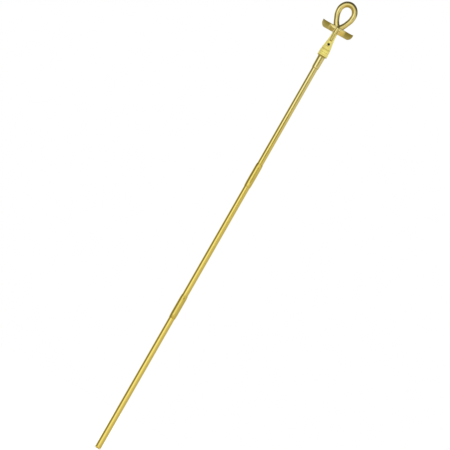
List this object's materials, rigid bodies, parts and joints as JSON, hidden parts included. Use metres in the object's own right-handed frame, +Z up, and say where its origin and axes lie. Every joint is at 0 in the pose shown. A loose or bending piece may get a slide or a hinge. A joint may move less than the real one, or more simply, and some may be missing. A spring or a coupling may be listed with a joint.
{
  "type": "processional staff",
  "caption": "Slim sectional brass staff with sleeved tube joints, topped by a looped cross on a flared socket with a clamp screw.",
  "frame": {"origin": "centre of the foot plug's flat end face", "axes": "+Z up along the staff towards the looped head, -Y the front, where the clamp screw is, +X to the right seen from the front"},
  "size_m": [0.1044, 0.0318, 1.5648],
  "materials": {
    "polished_brass": "polished, lacquered yellow brass with fine rubbing marks",
    "cast_brass": "satin, paler turned casting",
    "plain_brass": "as machined, unlacquered",
    "black_steel": "black oxide",
    "zinc_steel": "zinc plated",
    "black_rubber": "matt moulded rubber"
  },
  "bodies": {
    "lower_section": {"lower_tube": "polished_brass", "foot_plug": "polished_brass", "lower_joint_sleeve": "polished_brass", "lower_joint_spigot": "plain_brass", "lower_joint_oring": "black_rubber"},
    "middle_section": {"middle_tube": "polished_brass", "upper_joint_sleeve": "polished_brass", "upper_joint_spigot": "plain_brass", "upper_joint_oring": "black_rubber"},
    "upper_section": {"upper_tube": "polished_brass"},
    "head_mount": {"head_ferrule": "polished_brass", "head_spigot": "plain_brass", "head_mount_oring": "black_rubber"},
    "head": {"head_socket": "cast_brass", "socket_base_ring": "cast_brass", "ankh_stem": "polished_brass", "ankh_loop": "polished_brass", "crossbar_left_arm": "polished_brass", "crossbar_right_arm": "polished_brass", "crossbar_tie_rod": "zinc_steel", "head_stud": "zinc_steel", "stud_washer": "zinc_steel", "stud_nut": "zinc_steel"},
    "screw_pad": {"set_screw_pad": "plain_brass"},
    "clamp_screw": {"set_screw": "black_steel"}
  },
  "joints": [
    {"name": "lower_joint_pull", "type": "slide", "parent": "lower_section", "child": "middle_section", "axis": [0, 0, 1], "range_m": [0, 0.08]},
    {"name": "upper_joint_pull", "type": "slide", "parent": "middle_section", "child": "upper_section", "axis": [0, 0, 1], "range_m": [0, 0.08]},
    {"name": "head_mount_pull", "type": "slide", "parent": "upper_section", "child": "head_mount", "axis": [0, 0, 1], "range_m": [0, 0.09]},
    {"name": "head_turn", "type": "hinge", "parent": "head_mount", "child": "head", "pos_m": [0, 0, 1.4], "axis": [0, 0, 1], "continuous": true},
    {"name": "screw_travel", "type": "slide", "parent": "head", "child": "screw_pad", "axis": [0, -1, 0], "range_m": [0, 0.0026]},
    {"name": "screw_turn", "type": "hinge", "parent": "screw_pad", "child": "clamp_screw", "pos_m": [0, -0.0112, 1.4175], "axis": [0, -1, 0], "range_deg": [0, 720]}
  ],
  "couplings": [
    {"joint": "screw_travel", "follows": "screw_turn", "m_per_rad": 0.00019894}
  ]
}
